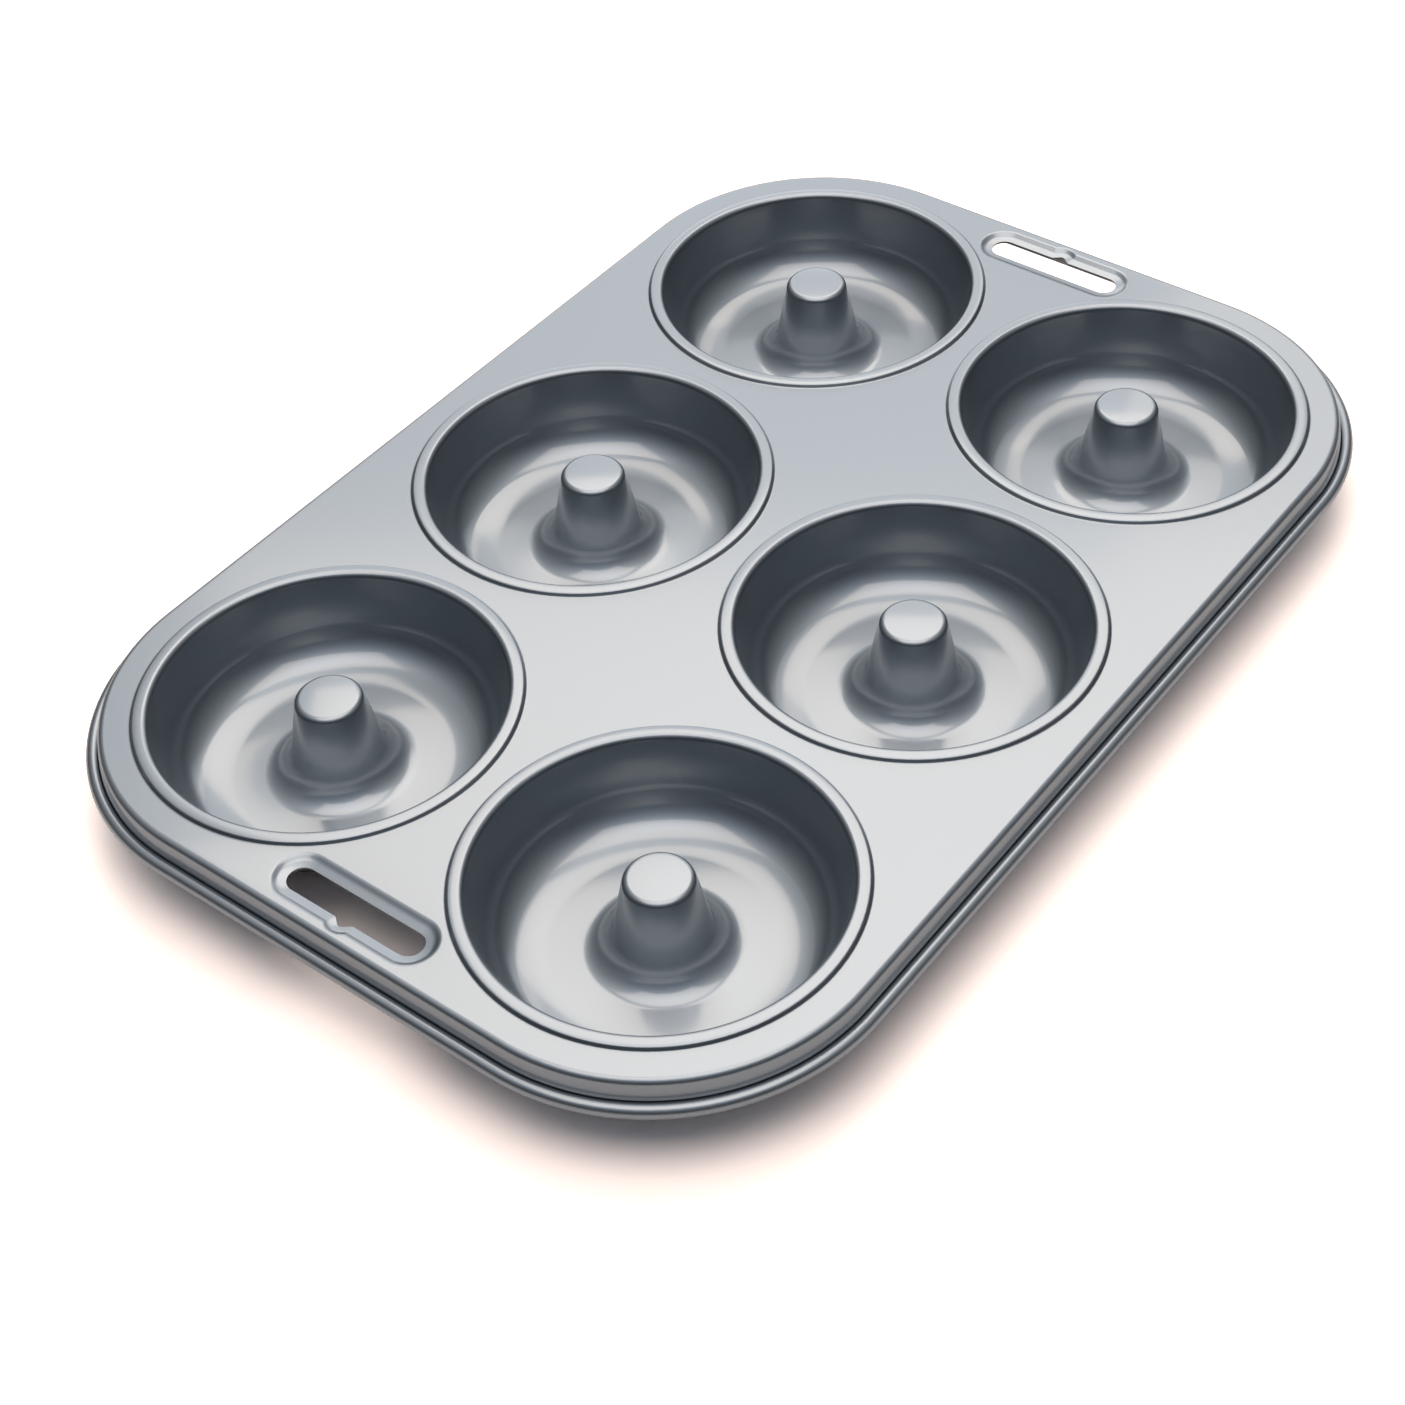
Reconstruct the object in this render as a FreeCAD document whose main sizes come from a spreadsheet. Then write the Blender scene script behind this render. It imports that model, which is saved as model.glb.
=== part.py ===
import FreeCAD, Part
import math
import os
import re
from enum import IntEnum
from typing import NamedTuple

import Sketcher
from FreeCAD import Vector

# A doughnut pan pressed from one steel sheet. A flat plate carries the ring moulds, each with
# a raised ring round its mouth and a hollow cone in its middle. A dished hanging slot is near
# each short end, and the edge turns down into a skirt that ends in an outward curl.
# X runs across the pan, Y along it and Z up. Z = 0 is what the moulds stand on, and X = Y = 0
# is the middle of the plate. Sketches are drawn from the plate's upper side.

PAN = "doughnut_pan"

COLUMNS = 2
ROWS = 3

# How many equal flats stand for each round bend, on either side of the sheet
FLAT_COUNTS = {
    "lip_bend": 1,
    "floor_bend": 3,
    "cone_foot_bend": 2,
    "cone_top_bend": 1,
    "edge_bend": 1,
    "curl": 6,
}

# Lengths in millimetres, slopes and drafts in degrees. A bend is measured on its inner side.
SIZES = {
    # Sheet and layout
    "sheet": 0.6,
    "mould_land": 5.0,  # plate between the feet of two rings
    "plate_margin": 7.0,  # from a ring's foot to the plate's edge
    "join_margin": 1.0,  # flat part of a mould's pressing outside its ring
    # Raised ring round a mould
    "ring_width": 3.7,  # from the mould's mouth to the ring's foot
    "ring_height": 0.9,
    "ring_slope": 60.0,
    # Wall and floor of a mould
    "mouth_radius": 39.3,
    "lip_bend": 1.0,
    "wall_draft": 9.0,
    "mould_depth": 20.4,  # from the plate down to the mould's floor
    "floor_bend": 10.0,
    # Cone in the middle of a mould
    "cone_radius": 7.4,
    "cone_rise": 0.6,  # from the plate up to the cone's top
    "cone_draft": 11.4,
    "cone_foot_bend": 6.0,
    "cone_top_bend": 0.9,
    # Skirt and curl
    "edge_bend": 0.9,
    "skirt_draft": 9.0,
    "curl_depth": 6.2,  # from the plate down to the curl's middle
    "curl_hollow": 1.1,
    "curl_gap": 0.25,  # from the curl's tip to the skirt
    # Hanging slot and the dish pressed round it
    "slot_length": 35.8,
    "slot_width": 6.5,
    "slot_inset": 9.3,  # from the plate's edge to the slot's middle
    "notch_depth": 1.5,
    "notch_slope": 38.0,
    "notch_tip": 1.2,
    "notch_shoulder": 0.8,
    "dish_ledge": 2.1,
    "dish_depth": 0.8,
}

# Where things are, worked out from the sizes
RING_RADIUS = "(mouth_radius + ring_width)"
MOULD_PITCH = "(2 * " + RING_RADIUS + " + mould_land)"
PRESSING_RADIUS = "(" + RING_RADIUS + " + join_margin)"
EDGE_SETBACK = "(edge_bend + sheet) * tan((90 - skirt_draft) / 2)"
CORNER_RADIUS = RING_RADIUS + " + plate_margin - " + EDGE_SETBACK
ACROSS_CORNERS = MOULD_PITCH + f" * {COLUMNS - 1} / 2"
ALONG_CORNERS = MOULD_PITCH + f" * {ROWS - 1} / 2"
SLOT_PLACE = ALONG_CORNERS + " + " + RING_RADIUS + " + plate_margin - slot_inset"
SLOT_MIDDLES = "(slot_length - slot_width) / 2"
DISH_SLOPE = "atan(dish_depth / dish_ledge)"
DISH_UNDERSIDE_SPREAD = "dish_ledge + sheet * tan(" + DISH_SLOPE + " / 2)"
DISH_UNDERSIDE_DEPTH = "dish_depth + sheet / cos(" + DISH_SLOPE + ")"


class Vertex(IntEnum):
    """The points of a straight or an arc that a constraint can hold."""

    FIRST = 1
    LAST = 2
    CENTRE = 3


class Axis(IntEnum):
    """A sketch's own axes."""

    ACROSS = -1
    UPRIGHT = -2


ORIGIN = (Axis.ACROSS, Vertex.FIRST)


class Piece(NamedTuple):
    """A straight or an arc of a sketch, with the vertices at its start and end."""

    number: int
    start: Vertex
    end: Vertex

    def first(self):
        """Its start, as the sketch names it."""
        return self.number, self.start

    def last(self):
        """Its end, as the sketch names it."""
        return self.number, self.end


def formula(text):
    """An expression on the sheet's cells, from one that names the sizes plainly."""
    return re.sub(r"[a-z_]+", lambda m: "Sizes." + m[0] if m[0] in SIZES else m[0], text)


def slope(degrees):
    """The tangent of an angle in degrees."""
    return math.tan(math.radians(degrees))


def ring_radius():
    """The radius of a raised ring's foot."""
    return SIZES["mouth_radius"] + SIZES["ring_width"]


def mould_pitch():
    """The distance between the middles of two moulds."""
    return 2 * ring_radius() + SIZES["mould_land"]


def add_sizes(doc):
    """The spreadsheet of driving dimensions, one named cell each."""
    sheet = doc.addObject("Spreadsheet::Sheet", "Sizes")
    for row, (name, value) in enumerate(SIZES.items(), start=1):
        sheet.set(f"A{row}", name)
        sheet.set(f"B{row}", str(value))
        sheet.setAlias(f"B{row}", name)
    doc.recompute()


def origin_part(body, role):
    """One of the body's own origin planes or axes."""
    return next(part for part in body.Origin.OriginFeatures if part.Role == role)


def add_sketch(body, name, role, **offsets):
    """A sketch on an origin plane, moved from it by expressions on the sizes."""
    sketch = body.newObject("Sketcher::SketchObject", name)
    sketch.AttachmentSupport = [(origin_part(body, role), "")]
    sketch.MapMode = "FlatFace"
    for axis, text in offsets.items():
        sketch.setExpression("AttachmentOffset.Base." + axis, formula(text))
    return sketch


def tie(sketch, kind, *where):
    """Adds a constraint that holds no size."""
    sketch.addConstraint(Sketcher.Constraint(kind, *where))


def drive(sketch, kind, where, value, text):
    """Adds a constraint whose size follows an expression, starting at a value near it."""
    index = sketch.addConstraint(Sketcher.Constraint(kind, *where, value))
    name = f"size_{index}"
    sketch.renameConstraint(index, name)
    sketch.setExpression("Constraints." + name, formula(text))


def drive_gap(sketch, kind, start, end, text):
    """Drives the distance between two vertices along a sketch axis."""
    gap = sketch.getPoint(*end) - sketch.getPoint(*start)
    value = gap.x if kind == "DistanceX" else gap.y
    drive(sketch, kind, (*start, *end), value, text)


def drive_corner(sketch, one, other, point, text):
    """Sets how far from the upright axis two straights would meet."""
    corner = sketch.addGeometry(Part.Point(point), True)
    tie(sketch, "PointOnObject", corner, Vertex.FIRST, one.number)
    tie(sketch, "PointOnObject", corner, Vertex.FIRST, other.number)
    drive_gap(sketch, "DistanceX", ORIGIN, (corner, Vertex.FIRST), text)


def add_straight(sketch, start, end):
    """A straight between two points."""
    return Piece(sketch.addGeometry(Part.LineSegment(start, end), False), Vertex.FIRST, Vertex.LAST)


def add_arc(sketch, centre, radius, angles, is_guide=False):
    """An arc that turns left from one angle to another."""
    arc = Part.ArcOfCircle(Part.Circle(centre, Vector(0, 0, 1), radius), *angles)
    return Piece(sketch.addGeometry(arc, is_guide), Vertex.FIRST, Vertex.LAST)


def add_bend(sketch, start, centre, end, is_guide=False):
    """An arc from start to end by the shorter way."""
    radius = start.distanceToPoint(centre)
    one, other = (math.atan2(point.y - centre.y, point.x - centre.x) for point in (start, end))
    if math.sin(other - one) > 0:
        return add_arc(sketch, centre, radius, (one, other), is_guide)
    arc = add_arc(sketch, centre, radius, (other, one), is_guide)
    return Piece(arc.number, Vertex.LAST, Vertex.FIRST)


def add_flats(sketch, guide, count):
    """Equal straights round a guide arc, from its start to its end."""
    arc = sketch.Geometry[guide.number]
    step = (arc.LastParameter - arc.FirstParameter) / count
    points = [arc.value(arc.FirstParameter + step * index) for index in range(count + 1)]
    if guide.start == Vertex.LAST:
        points.reverse()
    flats = [add_straight(sketch, one, other) for one, other in zip(points, points[1:])]
    for one, other in zip(flats, flats[1:]):
        tie(sketch, "Coincident", *one.last(), *other.first())
        tie(sketch, "PointOnObject", *one.last(), guide.number)
        tie(sketch, "Equal", one.number, other.number)
    tie(sketch, "Coincident", *flats[0].first(), *guide.first())
    tie(sketch, "Coincident", *flats[-1].last(), *guide.last())


def join_smoothly(sketch, pieces):
    """Makes each piece of a chain run on into the next one."""
    for one, other in zip(pieces, pieces[1:]):
        tie(sketch, "Tangent", *one.last(), *other.first())


def fit_bend(before, corner, after, radius):
    """Where a bend at a corner starts, where its centre is and where it ends."""
    inward = (before - corner).normalize()
    onward = (after - corner).normalize()
    half = inward.getAngle(onward) / 2
    reach = radius / math.tan(half)
    centre = corner + (inward + onward).normalize() * (radius / math.sin(half))
    return corner + inward * reach, centre, corner + onward * reach


def add_round_chain(sketch, corners, radii):
    """Straights through the corners, with an arc of its own radius at each inner corner."""
    pieces = []
    start = corners[0]
    for before, corner, after, radius in zip(corners, corners[1:], corners[2:], radii):
        bend_start, centre, bend_end = fit_bend(before, corner, after, radius)
        pieces.append(add_straight(sketch, start, bend_start))
        pieces.append(add_bend(sketch, bend_start, centre, bend_end))
        start = bend_end
    pieces.append(add_straight(sketch, start, corners[-1]))
    return pieces


def add_sheet_side(sketch, corners, radii, flats):
    """One side of a bent sheet. A corner of no flats is sharp, and any other has a guide arc."""
    fits = [fit_bend(*place) for place in zip(corners, corners[1:], corners[2:], radii)]
    starts = [corners[0]] + [end for _, _, end in fits]
    ends = [start for start, _, _ in fits] + [corners[-1]]
    straights = [add_straight(sketch, start, end) for start, end in zip(starts, ends)]
    guides = []
    for one, other, fit, count in zip(straights, straights[1:], fits, flats):
        if count == 0:
            tie(sketch, "Coincident", *one.last(), *other.first())
            continue
        guide = add_bend(sketch, *fit, is_guide=True)
        join_smoothly(sketch, [one, guide, other])
        add_flats(sketch, guide, count)
        guides.append(guide)
    return straights, guides


def back_corners(corners, gap):
    """The corners of a line that runs beside the given one, to its left."""
    directions = [(b - a).normalize() for a, b in zip(corners, corners[1:])]
    lefts = [Vector(-d.y, d.x, 0) for d in directions]
    shifted = [corners[0] + lefts[0] * gap]
    for corner, one, other in zip(corners[1:], lefts, lefts[1:]):
        between = (one + other).normalize()
        shifted.append(corner + between * (gap / between.dot(one)))
    shifted.append(corners[-1] + lefts[-1] * gap)
    return shifted


def close_end(sketch, one, other):
    """A straight across the sheet, between a vertex of either side."""
    end = add_straight(sketch, sketch.getPoint(*one), sketch.getPoint(*other))
    tie(sketch, "Coincident", *end.first(), *one)
    tie(sketch, "Coincident", *end.last(), *other)
    return end


def mould_corners():
    """The sharp corners of a mould's upper side, from its flat edge in to the cone's middle."""
    size = SIZES
    ring_top = ring_radius() - size["ring_height"] / slope(size["ring_slope"])
    wall_fall = size["ring_height"] + size["mould_depth"]
    wall_foot = size["mouth_radius"] - wall_fall * slope(size["wall_draft"])
    cone_fall = size["cone_rise"] + size["mould_depth"]
    cone_foot = size["cone_radius"] + cone_fall * slope(size["cone_draft"])
    return [
        Vector(ring_radius() + size["join_margin"], 0, 0),
        Vector(ring_radius(), 0, 0),
        Vector(ring_top, size["ring_height"], 0),
        Vector(size["mouth_radius"], size["ring_height"], 0),
        Vector(wall_foot, -size["mould_depth"], 0),
        Vector(cone_foot, -size["mould_depth"], 0),
        Vector(size["cone_radius"], size["cone_rise"], 0),
        Vector(0, size["cone_rise"], 0),
    ]


def drive_mould_face(sketch, straights, corners):
    """Sets the heights, radii and slopes of a mould's upper side."""
    flat, step, band, wall, floor, side, cap = straights
    for level in (flat, band, floor, cap):
        tie(sketch, "Horizontal", level.number)
    tie(sketch, "PointOnObject", *flat.first(), Axis.ACROSS)
    tie(sketch, "PointOnObject", *cap.last(), Axis.UPRIGHT)
    drive_gap(sketch, "DistanceX", ORIGIN, flat.first(), PRESSING_RADIUS)
    drive_gap(sketch, "DistanceX", ORIGIN, step.first(), RING_RADIUS)
    drive_gap(sketch, "DistanceY", ORIGIN, band.first(), "ring_height")
    drive_gap(sketch, "DistanceY", floor.first(), ORIGIN, "mould_depth")
    drive_gap(sketch, "DistanceY", ORIGIN, cap.first(), "cone_rise")
    turns = [
        (step, 180 - SIZES["ring_slope"], "180 - ring_slope"),
        (wall, -90 - SIZES["wall_draft"], "-90 - wall_draft"),
        (side, 90 + SIZES["cone_draft"], "90 + cone_draft"),
    ]
    for straight, degrees, text in turns:
        drive(sketch, "Angle", (straight.number,), math.radians(degrees), text)
    drive_corner(sketch, band, wall, corners[3], "mouth_radius")
    drive_corner(sketch, side, cap, corners[6], "cone_radius")


def draw_mould_section(sketch):
    """Half the section of a mould's bent sheet, to be turned about the upright axis."""
    corners = mould_corners()
    sheet = SIZES["sheet"]
    # Each bend, and whether its inner side is the upper one
    bends = {"lip_bend": False, "floor_bend": True, "cone_foot_bend": True, "cone_top_bend": False}
    ring_bends = [0, 0]  # the ring's foot and top are sharp
    flats = ring_bends + [FLAT_COUNTS[name] for name in bends]
    face_radii = ring_bends + [SIZES[name] + sheet * (not above) for name, above in bends.items()]
    back_radii = ring_bends + [SIZES[name] + sheet * above for name, above in bends.items()]
    face, face_guides = add_sheet_side(sketch, corners, face_radii, flats)
    back, back_guides = add_sheet_side(sketch, back_corners(corners, sheet), back_radii, flats)
    drive_mould_face(sketch, face, corners)

    for top, under in zip(face, back):
        tie(sketch, "Parallel", top.number, under.number)
        drive(sketch, "Distance", (*under.first(), top.number), sheet, "sheet")
    for (name, above), top, under in zip(bends.items(), face_guides, back_guides):
        inner, outer = (top, under) if above else (under, top)
        drive(sketch, "Radius", (inner.number,), SIZES[name], name)
        drive(sketch, "Radius", (outer.number,), SIZES[name] + sheet, name + " + sheet")
    outer_end = close_end(sketch, face[0].first(), back[0].first())
    close_end(sketch, face[-1].last(), back[-1].last())
    tie(sketch, "Vertical", outer_end.number)
    tie(sketch, "PointOnObject", *back[-1].last(), Axis.UPRIGHT)


def draw_plate_outline(sketch):
    """A rectangle with large round corners, each about the middle of its corner mould."""
    across = mould_pitch() * (COLUMNS - 1) / 2
    along = mould_pitch() * (ROWS - 1) / 2
    setback = (SIZES["edge_bend"] + SIZES["sheet"]) * slope((90 - SIZES["skirt_draft"]) / 2)
    radius = ring_radius() + SIZES["plate_margin"] - setback
    wide, long = across + radius, along + radius
    start = Vector(wide, 0, 0)
    corners = [(wide, long), (-wide, long), (-wide, -long), (wide, -long)]
    points = [start] + [Vector(x, y, 0) for x, y in corners] + [start]
    pieces = add_round_chain(sketch, points, [radius] * len(corners))
    join_smoothly(sketch, pieces + pieces[:1])
    bends = pieces[1::2]
    for bend in bends:
        drive(sketch, "Radius", (bend.number,), radius, CORNER_RADIUS)
    right, top, left, bottom = pieces[:8:2]
    tie(sketch, "Vertical", right.number)
    tie(sketch, "Vertical", left.number)
    tie(sketch, "Horizontal", top.number)
    tie(sketch, "Horizontal", bottom.number)
    tie(sketch, "PointOnObject", *right.first(), Axis.ACROSS)
    upper_right, lower_left = ((bend.number, Vertex.CENTRE) for bend in bends[::2])
    drive_gap(sketch, "DistanceX", ORIGIN, upper_right, ACROSS_CORNERS)
    drive_gap(sketch, "DistanceY", ORIGIN, upper_right, ALONG_CORNERS)
    drive_gap(sketch, "DistanceX", lower_left, ORIGIN, ACROSS_CORNERS)
    drive_gap(sketch, "DistanceY", lower_left, ORIGIN, ALONG_CORNERS)


def draw_mouths(sketch):
    """One circle for each mould, where the plate makes way for its pressing."""
    radius = ring_radius() + SIZES["join_margin"]
    for column in range(COLUMNS):
        for row in range(ROWS):
            right, up = column - (COLUMNS - 1) / 2, row - (ROWS - 1) / 2
            centre = Vector(right, up, 0) * mould_pitch()
            circle = sketch.addGeometry(Part.Circle(centre, Vector(0, 0, 1), radius), False)
            drive(sketch, "Radius", (circle,), radius, PRESSING_RADIUS)
            for kind, count in (("DistanceX", right), ("DistanceY", up)):
                drive_gap(sketch, kind, ORIGIN, (circle, Vertex.CENTRE), MOULD_PITCH + f" * {count}")


def draw_rim_section(sketch):
    """The sheet from the plate's edge down the skirt and round the outward curl."""
    sheet, bend, hollow = SIZES["sheet"], SIZES["edge_bend"], SIZES["curl_hollow"]
    draft = math.radians(SIZES["skirt_draft"])
    out = Vector(math.cos(draft), math.sin(draft), 0)
    down = Vector(math.sin(draft), -math.cos(draft), 0)
    edge_middle = Vector(0, -bend - sheet, 0)
    apart = bend + sheet + hollow
    run = (SIZES["curl_depth"] - bend - sheet + apart * out.y) / -down.y
    curl_middle = edge_middle + out * apart + down * run
    tip_turn = math.asin((hollow - SIZES["curl_gap"]) / (hollow + sheet))
    tip = out * -math.sin(tip_turn) - down * math.cos(tip_turn)
    curl_angles = (math.atan2(-out.y, -out.x), math.atan2(tip.y, tip.x) + 2 * math.pi)

    def add_side(edge_radius, curl_radius):
        """One side of the sheet: its edge bend, its skirt and its curl."""
        edge_top = edge_middle + Vector(0, edge_radius, 0)
        skirt_top = edge_middle + out * edge_radius
        edge = add_bend(sketch, edge_top, edge_middle, skirt_top, is_guide=True)
        skirt = add_straight(sketch, skirt_top, curl_middle - out * curl_radius)
        curl = add_arc(sketch, curl_middle, curl_radius, curl_angles, is_guide=True)
        join_smoothly(sketch, [edge, skirt, curl])
        add_flats(sketch, edge, FLAT_COUNTS["edge_bend"])
        add_flats(sketch, curl, FLAT_COUNTS["curl"])
        return edge, skirt, curl

    face_edge, skirt, face_curl = add_side(bend + sheet, hollow)
    back_edge, _, back_curl = add_side(bend, hollow + sheet)
    plate_end = close_end(sketch, face_edge.first(), back_edge.first())
    tip_end = close_end(sketch, face_curl.last(), back_curl.last())
    tie(sketch, "Vertical", plate_end.number)
    tie(sketch, "Coincident", *face_edge.first(), *ORIGIN)
    for one, other in ((face_edge, back_edge), (face_curl, back_curl)):
        tie(sketch, "Coincident", one.number, Vertex.CENTRE, other.number, Vertex.CENTRE)
    tie(sketch, "PointOnObject", face_edge.number, Vertex.CENTRE, Axis.UPRIGHT)
    tie(sketch, "PointOnObject", face_curl.number, Vertex.CENTRE, tip_end.number)
    radii = [
        (face_edge, bend + sheet, "edge_bend + sheet"),
        (back_edge, bend, "edge_bend"),
        (face_curl, hollow, "curl_hollow"),
        (back_curl, hollow + sheet, "curl_hollow + sheet"),
    ]
    for guide, radius, text in radii:
        drive(sketch, "Radius", (guide.number,), radius, text)
    skirt_turn = math.radians(SIZES["skirt_draft"] - 90)
    drive(sketch, "Angle", (skirt.number,), skirt_turn, "skirt_draft - 90")
    drive_gap(sketch, "DistanceY", (face_curl.number, Vertex.CENTRE), ORIGIN, "curl_depth")
    tip_gap = (*back_curl.last(), skirt.number)
    drive(sketch, "Distance", tip_gap, SIZES["curl_gap"], "curl_gap")


def draw_slot_outline(sketch, spread, spread_text):
    """A round-ended slot with a hanging notch in its outer side, widened all round by a spread."""
    half = SIZES["slot_width"] / 2 + spread
    end = (SIZES["slot_length"] - SIZES["slot_width"]) / 2
    tip = SIZES["notch_tip"] + spread
    shoulder = SIZES["notch_shoulder"]
    lean = math.radians(SIZES["notch_slope"])
    tip_fall = SIZES["slot_width"] / 2 + SIZES["notch_depth"] - SIZES["notch_tip"]
    mouth = (tip + (tip_fall - half) * math.cos(lean)) / math.sin(lean)
    floor = tip_fall + tip / math.cos(lean)
    notch = [(-end, -half), (-mouth, -half), (0, -floor), (mouth, -half), (end, -half)]
    upright = math.pi / 2
    inner = add_straight(sketch, Vector(end, half, 0), Vector(-end, half, 0))
    left_end = add_arc(sketch, Vector(-end, 0, 0), half, (upright, 3 * upright))
    outer = add_round_chain(sketch, [Vector(x, y, 0) for x, y in notch], [shoulder, tip, shoulder])
    right_end = add_arc(sketch, Vector(end, 0, 0), half, (-upright, upright))
    join_smoothly(sketch, [inner, left_end, *outer, right_end, inner])

    left_side, left_shoulder, left_lean, notch_tip, right_lean, right_shoulder, right_side = outer
    for level in (inner, left_side, right_side):
        tie(sketch, "Horizontal", level.number)
    tie(sketch, "Equal", left_end.number, right_end.number)
    tie(sketch, "PointOnObject", left_end.number, Vertex.CENTRE, Axis.ACROSS)
    tie(sketch, "PointOnObject", notch_tip.number, Vertex.CENTRE, Axis.UPRIGHT)
    drive(sketch, "Radius", (left_end.number,), half, "slot_width / 2" + spread_text)
    drive(sketch, "Radius", (notch_tip.number,), tip, "notch_tip" + spread_text)
    for piece in (left_shoulder, right_shoulder):
        drive(sketch, "Radius", (piece.number,), shoulder, "notch_shoulder")
    drive_gap(sketch, "DistanceX", (left_end.number, Vertex.CENTRE), ORIGIN, SLOT_MIDDLES)
    drive_gap(sketch, "DistanceX", ORIGIN, (right_end.number, Vertex.CENTRE), SLOT_MIDDLES)
    tip_text = "slot_width / 2 + notch_depth - notch_tip"
    drive_gap(sketch, "DistanceY", (notch_tip.number, Vertex.CENTRE), ORIGIN, tip_text)
    drive(sketch, "Angle", (left_lean.number,), -lean, "-notch_slope")
    drive(sketch, "Angle", (right_lean.number,), lean, "notch_slope")


def add_slot_sketch(body, name, depth_text, spread=0, spread_text=""):
    """A slot outline near the pan's end, at a depth below the plate's upper side."""
    offsets = {"y": "-(" + SLOT_PLACE + ")", "z": "-(" + depth_text + ")"}
    sketch = add_sketch(body, name, "XY_Plane", **offsets)
    draw_slot_outline(sketch, spread, spread_text)
    return sketch


def add_loft(body, kind, name, sketches):
    """A straight-sided loft from one sketch to another."""
    loft = body.newObject("PartDesign::" + kind, name)
    loft.Profile = sketches[0]
    loft.Sections = sketches[1:]
    loft.Ruled = True
    return loft


def add_plate(body):
    """The flat plate between the rim's bend and the moulds' pressings."""
    outline = add_sketch(body, "plate_outline", "XY_Plane")
    draw_plate_outline(outline)
    plate = body.newObject("PartDesign::Pad", "plate")
    plate.Profile = outline
    plate.Reversed = True
    plate.setExpression("Length", formula("sheet"))
    mouths = add_sketch(body, "mould_mouths", "XY_Plane")
    draw_mouths(mouths)
    cut = body.newObject("PartDesign::Pocket", "mould_mouth_cuts")
    cut.Profile = mouths
    cut.setExpression("Length", formula("sheet"))
    return outline


def add_moulds(body):
    """One ring mould turned from its section, and its copies across and along the plate."""
    corner = {"x": "-(" + ACROSS_CORNERS + ")", "z": ALONG_CORNERS}
    section = add_sketch(body, "mould_section", "XZ_Plane", **corner)
    draw_mould_section(section)
    mould = body.newObject("PartDesign::Revolution", "mould")
    mould.Profile = section
    mould.ReferenceAxis = (section, ["V_Axis"])
    mould.Angle = 360
    moulds = body.newObject("PartDesign::LinearPattern", "moulds")
    moulds.Originals = [mould]
    moulds.Direction = (origin_part(body, "X_Axis"), [""])
    moulds.Occurrences = COLUMNS
    moulds.setExpression("Length", formula(MOULD_PITCH + f" * {COLUMNS - 1}"))
    moulds.Direction2 = (origin_part(body, "Y_Axis"), [""])
    moulds.Occurrences2 = ROWS
    moulds.setExpression("Length2", formula(MOULD_PITCH + f" * {ROWS - 1}"))
    body.Tip = moulds


def add_rim(body, outline):
    """The skirt and its curl, carried round the plate's outline."""
    edge = ACROSS_CORNERS + " + " + CORNER_RADIUS
    section = add_sketch(body, "rim_section", "XZ_Plane", x=edge)
    draw_rim_section(section)
    rim = body.newObject("PartDesign::AdditivePipe", "rim")
    rim.Profile = section
    rim.Spine = (outline, [f"Edge{number + 1}" for number in range(outline.GeometryCount)])


def add_slots(body):
    """A hanging slot with its dish at each short end."""
    ledge, sheet = SIZES["dish_ledge"], SIZES["sheet"]
    dish_slope = math.atan(SIZES["dish_depth"] / ledge)
    under_spread = ledge + sheet * math.tan(dish_slope / 2)
    under_text = " + " + DISH_UNDERSIDE_SPREAD
    under_rim = add_slot_sketch(body, "dish_underside_rim", "sheet", under_spread, under_text)
    under_foot = add_slot_sketch(body, "dish_underside_foot", DISH_UNDERSIDE_DEPTH)
    under = add_loft(body, "AdditiveLoft", "dish_underside", [under_rim, under_foot])
    rim = add_slot_sketch(body, "dish_rim", "0", ledge, " + dish_ledge")
    foot = add_slot_sketch(body, "dish_foot", "dish_depth")
    dish = add_loft(body, "SubtractiveLoft", "dish", [rim, foot])
    slot = body.newObject("PartDesign::Pocket", "slot")
    slot.Profile = add_slot_sketch(body, "slot_outline", "0")
    slot.setExpression("Length", formula(DISH_UNDERSIDE_DEPTH))
    slots = body.newObject("PartDesign::Mirrored", "slots")
    slots.Originals = [under, dish, slot]
    slots.MirrorPlane = (origin_part(body, "XZ_Plane"), [""])
    body.Tip = slots


def add_pan(doc):
    """The whole pan as one body that stands on its moulds."""
    body = doc.addObject("PartDesign::Body", "Pan")
    body.Label = PAN
    outline = add_plate(body)
    add_moulds(body)
    add_rim(body, outline)
    add_slots(body)
    body.setExpression("Placement.Base.z", formula("mould_depth + sheet"))
    return body


def check(doc, bodies):
    """Stops if a feature failed or a body isn't one valid solid."""
    failed = [item.Name for item in doc.Objects if {"Invalid", "Error"} & set(item.State)]
    if failed:
        raise RuntimeError(f"features failed: {failed}")
    for body in bodies:
        shape = body.Shape
        if shape.isNull() or not shape.isValid() or len(shape.Solids) != 1:
            raise RuntimeError(f"{body.Label} isn't one valid solid")


def main():
    """Builds the document and writes each body's shape."""
    doc = FreeCAD.newDocument("DoughnutPan")
    add_sizes(doc)
    bodies = [add_pan(doc)]
    doc.recompute()
    check(doc, bodies)
    os.makedirs("parts", exist_ok=True)
    for body in bodies:
        body.Shape.exportStep(f"parts/{body.Label}.step")
        box = body.Shape.BoundBox
        print(body.Label, [round(n, 2) for n in (box.XLength, box.YLength, box.ZLength)])


main()
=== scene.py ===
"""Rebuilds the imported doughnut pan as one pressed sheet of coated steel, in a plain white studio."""

import logging
import math
from dataclasses import dataclass
from enum import Enum
from typing import Callable, Sequence

import bmesh
import bpy
from mathutils import Matrix, Vector


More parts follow.
